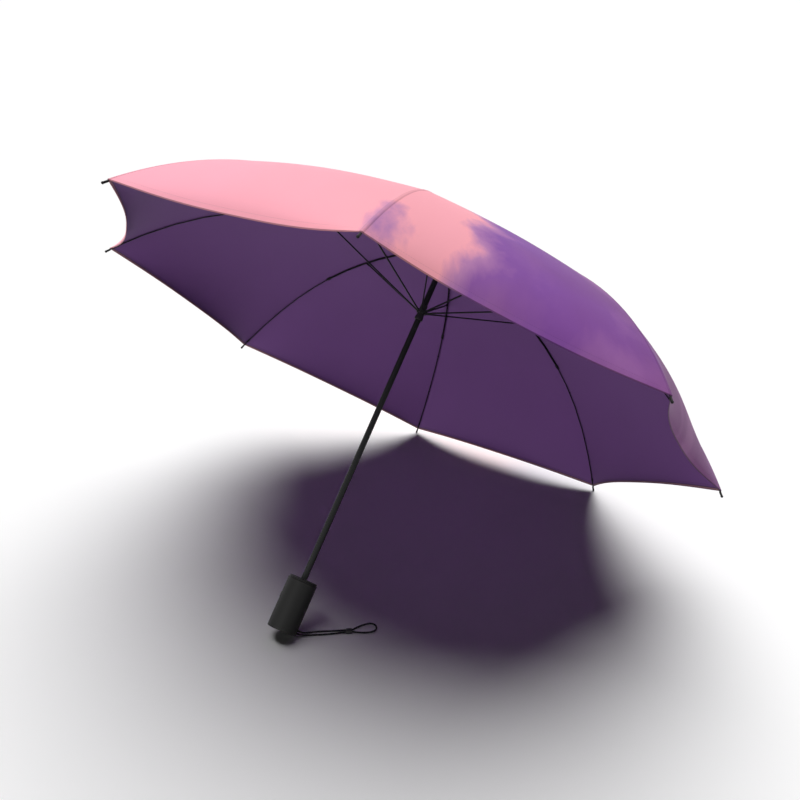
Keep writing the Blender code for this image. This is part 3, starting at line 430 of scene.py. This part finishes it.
def layPlan(shape, plan, edges, about, swing):
    # plan is the whole canopy seen from above, for the print; edges has the distances from rib and hem
    for face in shape.faces:
        face.smooth = True
        for corner in face.loops:
            share, turn, arc, hem = about[corner.vert]
            reach = share * canopy["planScale"]
            corner[plan].uv = (0.5 + reach * math.cos(swing + turn), 0.5 + reach * math.sin(swing + turn))
            corner[edges].uv = (arc * canopy["edgeScale"], hem * canopy["edgeScale"])


def smoothCloth(mesh, places):
    # both skins take the curved sheet's own normals; edges, hem and seams keep those of their faces
    skinNormals = {}
    normals = []
    for polygon in mesh.polygons:
        middleShare = sum(places[index][0] for index in polygon.vertices) / len(polygon.vertices)
        middleTurn = sum(places[index][1] for index in polygon.vertices) / len(polygon.vertices)
        flat = polygon.normal
        for index in polygon.vertices:
            share, turn = places[index]
            near = turn or math.copysign(canopy["besideRib"], middleTurn)
            key = (round(share, 6), round(near, 6))
            if key not in skinNormals:
                skinNormals[key] = clothNormal(min(share, canopy["beforeHem"]), near)
            skin = skinNormals[key]
            facing = flat.dot(skin)
            arc = abs(middleTurn) * canopy["rim"] * share
            onHem = abs(middleShare - 1) < 1e-6
            onSeam = share > canopy["seamFrom"] and arc < canopy["seamHalf"] * canopy["seamSharp"]
            if abs(facing) < canopy["sharpEdge"] or onHem or (facing > 0 and onSeam):
                normals.append(tuple(flat))
            else:
                normals.append(tuple(skin if facing > 0 else -skin))
    mesh.normals_split_custom_set(normals)


def foldAcross(piece):  # gives the cloth or thread its own copy of its mesh
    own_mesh(piece)


def clothStrip(number, part, finishes):
    shape = bmesh.new()
    plan = shape.loops.layers.uv.new("plan")
    edges = shape.loops.layers.uv.new("edges")
    under, over, about = clothRows(shape, part)
    coverRows(shape, under, 1)
    coverRows(shape, over, 0, True)
    if part == "outer":
        rollHem(shape, under[-1], over[-1], about)
    closeEdges(shape, under, over, part)
    bmesh.ops.recalc_face_normals(shape, faces=shape.faces)
    layPlan(shape, plan, edges, about, ribAngle(number))
    places = [about[vert][:2] for vert in shape.verts]
    mesh = bpy.data.meshes.new(f"cloth_{part}_{number}")
    shape.verts.index_update()
    shape.to_mesh(mesh)
    shape.free()
    smoothCloth(mesh, places)
    mesh.transform(ribFrame(number))
    mesh.update()
    strip = addObject(f"cloth_{part}_{number}", mesh)
    for finish in finishes:
        mesh.materials.append(finish)
    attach(strip, f"rib_{number}" if part == "inner" else f"rib_end_{number}")
    foldAcross(strip)
    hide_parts(f"canopy_panel_{number}")
    return strip


# Cloth: soft generic clouds outside, plain inside, with rows of stitches. Distances are in tenths of a metre.
printSettings = {
    "direction": (0.95, 0.25),  # from pink to violet, in the plan
    "offset": 0.075,
    "palePink": (0.95, 0.405, 0.50),
    "pink": (0.93, 0.385, 0.45),
    "mauve": (0.47, 0.21, 0.43),
    "violet": (0.225, 0.078, 0.345),
    "deepViolet": (0.165, 0.048, 0.17),
    "stops": (("pink", 0.5), ("mauve", 0.56), ("violet", 0.64)),
    "span": (-0.30, 0.34),  # where the first and the last colour lie along that direction
    "clouds": {"Scale": 3.6, "Detail": 7.0, "Roughness": 0.52, "Distortion": 0.25},
    "cloudShare": 0.55,
    "wisps": {"Scale": 6.12, "Detail": 5.0, "Roughness": 0.5, "Distortion": 0.2},
    "wispSpan": (0.46, 0.82),
    "wispFrom": (0.55, 0.7),
    "wispShare": 0.55,
    "seamEnd": (0.022, 0.03),  # the seam is a little darker, and the hem's edge and its roll much darker: painted shade under the rolled hem
    "seamShade": 0.86,
    "hemLine": (0.008, 0.013),
    "hemShade": 0.38,
    "stitchDepth": 0.22,
    "roughness": 0.62,
    "sheenRoughness": 0.4,
    "specular": 0.1,
}
liningSettings = {
    "colour": (0.115, 0.039, 0.170),
    "edgeColour": (0.035, 0.014, 0.05),
    # the turned-over print below is pink with painted shade
    "shadedTurnedHem": (0.19, 0.085, 0.11),
    "cloudy": {"Scale": 9.0, "Detail": 4.0},
    "lighter": 1.12,
    "hemTint": (0.068, 0.078),
    "hemTintShare": 0.14,
    # painted shadow: a dark line along the hem's inner side
    "hemShadowLine": (0.035, 0.042),
    "hemShadowShare": 0.85,
    "turnedEnd": (0.024, 0.029),
    "stitchDepth": 0.3,
    "roughness": 0.78,
}
clothSettings = {
    "sheen": 0.05,
    "weaveScale": 420.0,
    "weaveStrength": 0.25,
    "weaveHeight": 0.0002,
    "stitchPitch": 0.03,
    "stitchShare": 0.68,
    "stitchHalf": 0.0022,
    "stitchFromHem": 0.066,
    "stitchFromRib": 0.017,
}
flatNoise = {"noise_dimensions": "2D"}


def weave(tree, shader, place):
    heights = []
    for direction in ("X", "Y"):
        way = {"bands_direction": direction}
        wave = newNode(tree, "ShaderNodeTexWave", way, Vector=place, Scale=clothSettings["weaveScale"])
        heights.append(wave.outputs["Fac"])
    threads = maths(tree, "MAXIMUM", *heights)
    emboss(tree, shader, threads, clothSettings["weaveStrength"], clothSettings["weaveHeight"])


def stitched(tree, fromRib, fromHem, depth):
    # 1 on the cloth and less on the thread: a row along the hem and one beside each rib's seam
    rows = []
    for across, along, place in (
        (fromHem, fromRib, clothSettings["stitchFromHem"]),
        (fromRib, fromHem, clothSettings["stitchFromRib"]),
    ):
        onRow = maths(tree, "COMPARE", across, place, clothSettings["stitchHalf"])
        beat = maths(tree, "FRACT", maths(tree, "DIVIDE", along, clothSettings["stitchPitch"]))
        rows.append(maths(tree, "MULTIPLY", onRow, maths(tree, "LESS_THAN", beat, clothSettings["stitchShare"])))
    return maths(tree, "MULTIPLY_ADD", maths(tree, "MAXIMUM", *rows), -depth, 1.0)


def clothPlace(tree):  # the plan, and the distances from rib and hem
    plan = newNode(tree, "ShaderNodeUVMap", {"uv_map": "plan"}).outputs[0]
    edges = newNode(tree, "ShaderNodeUVMap", {"uv_map": "edges"}).outputs[0]
    fromRib, fromHem = newNode(tree, "ShaderNodeSeparateXYZ", i0=edges).outputs[:2]
    return plan, fromRib, fromHem


def cloudColours(tree, share):
    colours = newNode(tree, "ShaderNodeValToRGB", Fac=share)
    stops = colours.color_ramp
    stops.elements[0].position = 0.0
    stops.elements[0].color = (*printSettings["palePink"], 1)
    stops.elements[1].position = 1.0
    stops.elements[1].color = (*printSettings["deepViolet"], 1)
    for key, position in printSettings["stops"]:
        stops.elements.new(position).color = (*printSettings[key], 1)
    return colours.outputs[0]


def cloudPrint(name):
    made, tree, shader = startFinish(
        name, printSettings["pink"], printSettings["roughness"], printSettings["specular"],
    )
    plan, fromRib, fromHem = clothPlace(tree)
    parts = newNode(tree, "ShaderNodeSeparateXYZ", i0=plan).outputs
    x = maths(tree, "SUBTRACT", parts[0], 0.5)
    y = maths(tree, "SUBTRACT", parts[1], 0.5)
    turnX, turnY = printSettings["direction"]
    ramp = maths(tree, "MULTIPLY_ADD", x, turnX, maths(tree, "MULTIPLY", y, turnY))
    clouds = noise(tree, plan, flatNoise, **printSettings["clouds"])
    edge = maths(tree, "MULTIPLY_ADD", maths(tree, "SUBTRACT", clouds, 0.5), printSettings["cloudShare"], ramp)
    edge = maths(tree, "SUBTRACT", edge, printSettings["offset"])
    share = fade(tree, edge, *printSettings["span"])
    wisps = noise(tree, plan, flatNoise, **printSettings["wisps"])
    lit = fade(tree, wisps, *printSettings["wispSpan"])
    inViolet = maths(tree, "MULTIPLY", lit, fade(tree, share, *printSettings["wispFrom"]))
    pale = maths(tree, "MULTIPLY", inViolet, printSettings["wispShare"])
    colour = blend(tree, pale, cloudColours(tree, share), printSettings["mauve"])
    seam = fade(tree, fromRib, *printSettings["seamEnd"], printSettings["seamShade"], 1.0)
    # painted shade: the print's edge at the hem and its roll are darkened
    hem = fade(tree, fromHem, *printSettings["hemLine"], printSettings["hemShade"], 1.0)
    shade = maths(tree, "MULTIPLY", seam, hem)
    shade = maths(tree, "MULTIPLY", shade, stitched(tree, fromRib, fromHem, printSettings["stitchDepth"]))
    tree.links.new(darken(tree, colour, shade), shader.inputs["Base Color"])
    weave(tree, shader, plan)
    shader.inputs["Sheen Weight"].default_value = clothSettings["sheen"]
    shader.inputs["Sheen Roughness"].default_value = printSettings["sheenRoughness"]
    return made


def purpleLining(name):
    made, tree, shader = startFinish(name, liningSettings["colour"], liningSettings["roughness"])
    plan, fromRib, fromHem = clothPlace(tree)
    cloudy = noise(tree, plan, flatNoise, **liningSettings["cloudy"])
    lighter = tuple(channel * liningSettings["lighter"] for channel in liningSettings["colour"])
    colour = blend(tree, cloudy, liningSettings["colour"], lighter)
    # the print's own cloth turns over at the hem, its pink painted down to a shaded reddish brown, with a painted
    # shadow line where it ends and a row of stitches
    tint = fade(tree, fromHem, *liningSettings["hemTint"], 1.0, 0.0)
    tint = maths(tree, "MULTIPLY", tint, liningSettings["hemTintShare"])
    colour = blend(tree, tint, colour, liningSettings["edgeColour"])
    # painted shadow line along the hem
    line = fade(tree, fromHem, *liningSettings["hemShadowLine"], 1.0, 0.0)
    line = maths(tree, "MULTIPLY", line, liningSettings["hemShadowShare"])
    colour = blend(tree, line, colour, liningSettings["edgeColour"])
    # painted shade: the turned-over pink cloth takes a shaded reddish brown
    turned = fade(tree, fromHem, *liningSettings["turnedEnd"], 1.0, 0.0)
    colour = blend(tree, turned, colour, liningSettings["shadedTurnedHem"])
    sewn = darken(tree, colour, stitched(tree, fromRib, fromHem, liningSettings["stitchDepth"]))
    tree.links.new(sewn, shader.inputs["Base Color"])
    weave(tree, shader, plan)
    shader.inputs["Sheen Weight"].default_value = clothSettings["sheen"]
    return made


def dressCanopy():
    finishes = [cloudPrint("cloudPrint"), purpleLining("purpleLining")]
    rim, knee = canopy["rim"], canopy["knee"]
    for number in ribNumbers:
        for part, end, span in (("inner", knee, knee), ("outer", rim, rim - knee)):
            strip = clothStrip(number, part, finishes)
    print("canopy cut and sewn")


dressCanopy()

# Thread ties that hold the cloth to the frame, and the wound thread at each hem corner
ties = {
    "thread": 0.00032,
    "clear": 1.1,
    "steps": 16,
    "sides": 6,
    "colour": (0.010, 0.009, 0.012),
    "pitch": 0.0007,
    "ribPlaces": (0.085, 0.165, 0.250),
    "endPlaces": (0.350, 0.425),
    "wraps": 5,
    "wrapPitch": 0.0007,
    "wrapFrom": 0.4835,  # the outermost wrap; the others follow inwards
    "blade": (0.00135, 0.00165),  # half its width, and how far its underside is below
    "rod": (0.00128, 0.00128),
}


def tieLoop(shape, radius, half, below):
    # a closed thread in the plane square to the rib, flat where it meets the cloth
    drop, slope = ribCurve(radius / canopy["rim"])
    centre = Vector((radius, 0, canopy["crown"] - drop))
    up = Vector((math.sin(slope), 0, math.cos(slope)))
    across = Vector((0, 1, 0))
    above = canopy["lift"] - ties["thread"] * ties["clear"]
    steps, sides = ties["steps"], ties["sides"]
    ring = []
    for step in range(steps):
        turn = 2 * math.pi * step / steps
        reach = above if math.sin(turn) > 0 else below
        spot = centre + across * half * math.cos(turn) + up * reach * math.sin(turn)
        out = (across * math.cos(turn) + up * math.sin(turn)).normalized()
        along = out.cross(up.cross(across)).normalized()
        side = out.cross(along)
        loop = []
        for corner in range(sides):
            angle = 2 * math.pi * corner / sides
            loop.append(shape.verts.new(spot + (out * math.cos(angle) + side * math.sin(angle)) * ties["thread"]))
        ring.append(loop)
    for index, loop in enumerate(ring):
        following = ring[(index + 1) % steps]
        for corner in range(sides):
            nextCorner = (corner + 1) % sides
            face = shape.faces.new((loop[corner], loop[nextCorner], following[nextCorner], following[corner]))
            face.smooth = True


def sewTies():
    thread = braidedCord("tieThread", ties["colour"], ties["pitch"])
    wound = [ties["wrapFrom"] - ties["wrapPitch"] * turn for turn in range(ties["wraps"])]
    for number in ribNumbers:
        for body, part, places, size in (
            (f"rib_{number}", "inner", ties["ribPlaces"], ties["blade"]),
            (f"rib_end_{number}", "outer", [*ties["endPlaces"], *wound], ties["rod"]),
        ):
            shape = bmesh.new()
            for radius in places:
                tieLoop(shape, radius, *size)
            bmesh.ops.recalc_face_normals(shape, faces=shape.faces)
            shape.transform(ribFrame(number))
            mesh = bpy.data.meshes.new(f"ties_{body}")
            shape.to_mesh(mesh)
            shape.free()
            mesh.materials.append(thread)
            piece = addObject(f"ties_{body}", mesh)
            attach(piece, body)
            foldAcross(piece)
    print("cloth tied to the ribs")


sewTies()

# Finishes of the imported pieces
hardware = {
    "handlePlastic": {"colour": (0.0075, 0.0075, 0.0072), "roughness": 0.5, "specular": 0.17},
    "satinPlastic": {"colour": (0.008, 0.008, 0.008), "roughness": 0.42, "specular": 0.25},
    "blackEnamel": {"colour": (0.005, 0.005, 0.0055), "roughness": 0.42, "specular": 0.2},
    "tipPlastic": {"colour": (0.005, 0.005, 0.005), "roughness": 0.5, "specular": 0.12},
    "drawnSteel": {"colour": (0.5, 0.5, 0.51), "roughness": 0.3},
    "turnedBrass": {"colour": (0.7, 0.52, 0.26), "roughness": 0.3},
    "edge": 0.0002,  # how far a moulded piece's edges are softened
    "edgeSteps": 2,
    "edgeAngle": math.radians(40),
    "weld": 0.000002,
    "springSeat": (-0.0125, 0.0, 0.045),  # the pocket's floor, where the button's spring stands
    "springPressed": 0.78,
}
plasticSettings = {
    "dust": {"Scale": 38.0, "Detail": 5.0},
    "dustGain": 1.25,
    "dustLift": 0.003,
    "spread": 0.12,
    "pits": {"Scale": 1500.0, "Detail": 2.0},
    "pitStrength": 0.2,
    "pitHeight": 0.00005,
}
enamelSettings = {
    "scuffs": {"Scale": 90.0, "Detail": 6.0, "Roughness": 0.7},
    "worn": (0.6, 0.8),
    "wornGain": 1.8,
    "wornLift": 0.01,
    "spread": 0.2,
}
steelSettings = {
    "drawn": {"Scale": 400.0, "Detail": 3.0},
    "spread": 0.2,
}


def varyRoughness(tree, shader, pattern, roughness, spread):
    tree.links.new(maths(tree, "MULTIPLY_ADD", pattern, spread, roughness - spread / 2), shader.inputs["Roughness"])


def mouldedPlastic(name):
    looks = hardware[name]
    colour = looks["colour"]
    made, tree, shader = startFinish(name, colour, looks["roughness"], looks["specular"])
    place = objectPlace(tree)
    dust = noise(tree, place, **plasticSettings["dust"])
    dusty = tuple(min(1, channel * plasticSettings["dustGain"] + plasticSettings["dustLift"]) for channel in colour)
    tree.links.new(blend(tree, dust, colour, dusty), shader.inputs["Base Color"])
    varyRoughness(tree, shader, dust, looks["roughness"], plasticSettings["spread"])
    pits = noise(tree, place, **plasticSettings["pits"])
    emboss(tree, shader, pits, plasticSettings["pitStrength"], plasticSettings["pitHeight"])
    return made


def enamelledSteel(name):
    looks = hardware[name]
    colour = looks["colour"]
    made, tree, shader = startFinish(name, colour, looks["roughness"], looks["specular"])
    scuffs = noise(tree, objectPlace(tree), **enamelSettings["scuffs"])
    worn = tuple(min(1, channel * enamelSettings["wornGain"] + enamelSettings["wornLift"]) for channel in colour)
    share = fade(tree, scuffs, *enamelSettings["worn"])
    tree.links.new(blend(tree, share, colour, worn), shader.inputs["Base Color"])
    varyRoughness(tree, shader, scuffs, looks["roughness"], enamelSettings["spread"])
    return made


def bareSteel(name):
    looks = hardware[name]
    made, tree, shader = startFinish(name, looks["colour"], looks["roughness"], metallic=1.0)
    drawn = noise(tree, objectPlace(tree), **steelSettings["drawn"])
    varyRoughness(tree, shader, drawn, looks["roughness"], steelSettings["spread"])
    return made


def finishPiece(piece, finish, thin):
    piece.data.materials.clear()
    piece.data.materials.append(finish)
    for polygon in piece.data.polygons:
        polygon.material_index = 0
    weld = piece.modifiers.new("weld", "WELD")
    weld.merge_threshold = hardware["weld"]
    if not thin:
        bevel = piece.modifiers.new("soften", "BEVEL")
        bevel.width = hardware["edge"]
        bevel.segments = hardware["edgeSteps"]
        bevel.limit_method = "ANGLE"
        bevel.angle_limit = hardware["edgeAngle"]
    piece.data.shade_smooth()
    piece.modifiers.new("normals", "WEIGHTED_NORMAL").keep_sharp = True


def setButtonSpring(finish):
    # the real coil shortens with the button; here a copy of it stands for the solid, at its rest length
    coil = addObject("buttonSpring", nodes["button_spring"].data.copy())
    finishPiece(coil, finish, True)
    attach(coil, "shaft")
    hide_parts("button_spring")
    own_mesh(coil)


def dressHardware():
    handle = mouldedPlastic("handlePlastic")
    satin = mouldedPlastic("satinPlastic")
    enamel = enamelledSteel("blackEnamel")
    tips = mouldedPlastic("tipPlastic")
    steel = bareSteel("drawnSteel")
    brass = bareSteel("turnedBrass")
    finishes = {
        "handle_grip": handle, "base_cap": handle, "handle_collar": handle, "strap_anchor": satin,
        "push_button": satin, "strap_slider": satin, "runner": satin, "crown_notch": satin, "top_cap": tips,
        "shaft_tube": enamel, "crown_ring": steel, "main_spring": steel, "latch_bar": steel,
        "runner_pin": steel, "spring_plug": brass,
    }
    thin = ["crown_ring", "main_spring", "runner_pin"]
    for number in ribNumbers:
        arm = {f"rib_{number}": enamel, f"rib_end_{number}": enamel, f"stretcher_{number}": enamel}
        arm[f"rib_tip_{number}"] = tips
        finishes.update(arm)
        thin += arm
    for name, finish in finishes.items():
        finishPiece(nodes[name], finish, name in thin)
    setButtonSpring(steel)
    print("hardware finished")


dressHardware()

# Floor and light
studio = {
    "floor": (1.0, 1.0, 1.0),
    "floorRoughness": 0.9,
    "floorReach": 40,
    "sunStrength": 3.3,
    "sunSpread": 63.0,  # degrees; the wider, the softer the shadow
    "sunFrom": (-0.16, 0.31, 1.0),
    "fill": 0.02,
    "lowStrength": 1.8,
    "lowSpread": 60.0,
    "lowFrom": (0.0, -1.0, 0.14),
}


def layFloor():
    reach = studio["floorReach"]
    mesh = bpy.data.meshes.new("floor")
    corners = [(-reach, -reach, 0), (reach, -reach, 0), (reach, reach, 0), (-reach, reach, 0)]
    mesh.from_pydata(corners, [], [(0, 1, 2, 3)])
    floor = addObject("floor", mesh)
    mesh.materials.append(startFinish("paleFloor", studio["floor"], studio["floorRoughness"], 0.0)[0])
    return floor


def softSun(name, strength, spread, comesFrom):
    data = bpy.data.lights.new(name, "SUN")
    data.energy = strength
    data.angle = math.radians(spread)
    sun = addObject(name, data)
    sun.rotation_euler = Vector(comesFrom).to_track_quat("Z", "Y").to_euler()
    return sun


def lightStudio(floor):
    softSun("highSun", studio["sunStrength"], studio["sunSpread"], studio["sunFrom"])
    # the low sun reaches in under the canopy; it leaves the floor out, so the shadow there stays deep
    low = softSun("lowSun", studio["lowStrength"], studio["lowSpread"], studio["lowFrom"])
    unlit = bpy.data.collections.new("floorOnly")
    unlit.objects.link(floor)
    unlit.collection_objects[0].light_linking.link_state = "EXCLUDE"
    low.light_linking.receiver_collection = unlit
    low.data.cycles.max_bounces = 0
    world = bpy.data.worlds.new("studio")
    world.use_nodes = True
    bpy.context.scene.world = world
    tree = world.node_tree
    sky = tree.nodes["Background"]
    sky.inputs["Color"].default_value = (1, 1, 1, 1)
    sky.inputs["Strength"].default_value = studio["fill"]
    white = newNode(tree, "ShaderNodeBackground", Color=(1, 1, 1, 1), Strength=1.0)
    path = newNode(tree, "ShaderNodeLightPath")
    seen = maths(tree, "MAXIMUM", path.outputs["Is Camera Ray"], path.outputs["Is Glossy Ray"])
    mix = newNode(tree, "ShaderNodeMixShader", i0=seen, i1=sky.outputs[0], i2=white.outputs[0])
    tree.links.new(mix.outputs[0], tree.nodes["World Output"].inputs["Surface"])


lightStudio(layFloor())
bpy.context.scene.view_settings.view_transform = "Standard"
print("studio lit")

bpy.context.view_layer.update()
